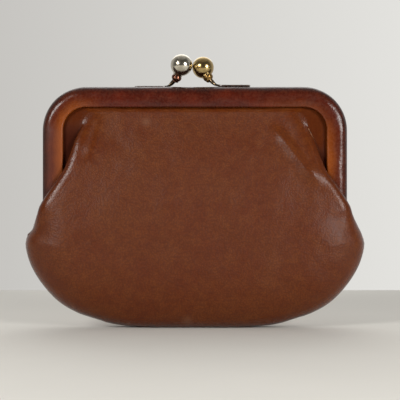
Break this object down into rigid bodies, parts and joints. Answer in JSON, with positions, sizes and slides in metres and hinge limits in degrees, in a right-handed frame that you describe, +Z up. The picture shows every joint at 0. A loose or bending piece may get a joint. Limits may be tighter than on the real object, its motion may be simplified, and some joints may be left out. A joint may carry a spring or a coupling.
{
  "type": "coin purse",
  "caption": "Soft leather coin purse on a leather-covered hinged frame that snaps shut with ball clasps that pass each other.",
  "frame": {"origin": "on the table, under the middle of the closed purse", "axes": "+Z up, +X along the frame to the right of someone facing the front, +Y from the front to the back"},
  "size_m": [0.1136, 0.024, 0.0913],
  "materials": {
    "cover_leather": "burnished dark brown calf, polished by handling",
    "panel_leather": "tan brown calf with a fine grain, suede on the inside",
    "brass_plated_steel": "rolled steel with a gold-tone plating",
    "bare_steel": "dull steel",
    "brown_lacquer": "dark brown lacquer on steel",
    "brass": "worn and polished",
    "nickel": "nickel plate, polished",
    "thread": "waxed linen thread",
    "paper_cord": "twisted kraft paper"
  },
  "bodies": {
    "pouch": {"front_panel_lower": "panel_leather", "rear_panel_lower": "panel_leather", "seam_thread": "thread", "seam_tack_left": "thread", "seam_tack_right": "thread", "hinge_rivet_left": "bare_steel", "hinge_rivet_right": "bare_steel", "hinge_washer_left": "bare_steel", "hinge_washer_right": "bare_steel"},
    "front_frame": {"front_frame_channel": "brass_plated_steel", "front_frame_cover": "cover_leather", "front_panel_upper": "panel_leather", "front_channel_cord": "paper_cord", "front_hinge_lug_left": "bare_steel", "front_hinge_lug_right": "bare_steel", "front_clasp_plate": "brown_lacquer", "front_plate_rivet_inner": "brass", "front_plate_rivet_outer": "brass"},
    "front_clasp": {"front_clasp_wire": "brass", "front_clasp_collar": "brass", "front_clasp_ball": "brass"},
    "rear_frame": {"rear_frame_channel": "brass_plated_steel", "rear_frame_cover": "cover_leather", "rear_panel_upper": "panel_leather", "rear_channel_cord": "paper_cord", "rear_hinge_lug_left": "bare_steel", "rear_hinge_lug_right": "bare_steel", "rear_clasp_plate": "brown_lacquer", "rear_plate_rivet_inner": "brass", "rear_plate_rivet_outer": "brass"},
    "rear_clasp": {"rear_clasp_wire": "brass", "rear_clasp_collar": "brass", "rear_clasp_ball": "nickel"}
  },
  "joints": [
    {"name": "front_hinge", "type": "hinge", "parent": "pouch", "child": "front_frame", "pos_m": [0, 0, 0.043], "axis": [1, 0, 0], "range_deg": [0, 28]},
    {"name": "rear_hinge", "type": "hinge", "parent": "pouch", "child": "rear_frame", "pos_m": [0, 0, 0.043], "axis": [1, 0, 0], "range_deg": [-28, 0]},
    {"name": "front_clasp_flex", "type": "hinge", "parent": "front_frame", "child": "front_clasp", "pos_m": [0.0074, -0.00195, 0.08135], "axis": [0, 1, 0], "range_deg": [0, 4], "stiffness_Nm_per_rad": 1},
    {"name": "rear_clasp_flex", "type": "hinge", "parent": "rear_frame", "child": "rear_clasp", "pos_m": [-0.0092, 0.00195, 0.08135], "axis": [0, -1, 0], "range_deg": [0, 4], "stiffness_Nm_per_rad": 1}
  ],
  "couplings": [
    {"joint": "rear_hinge", "follows": "front_hinge", "ratio": -1}
  ]
}
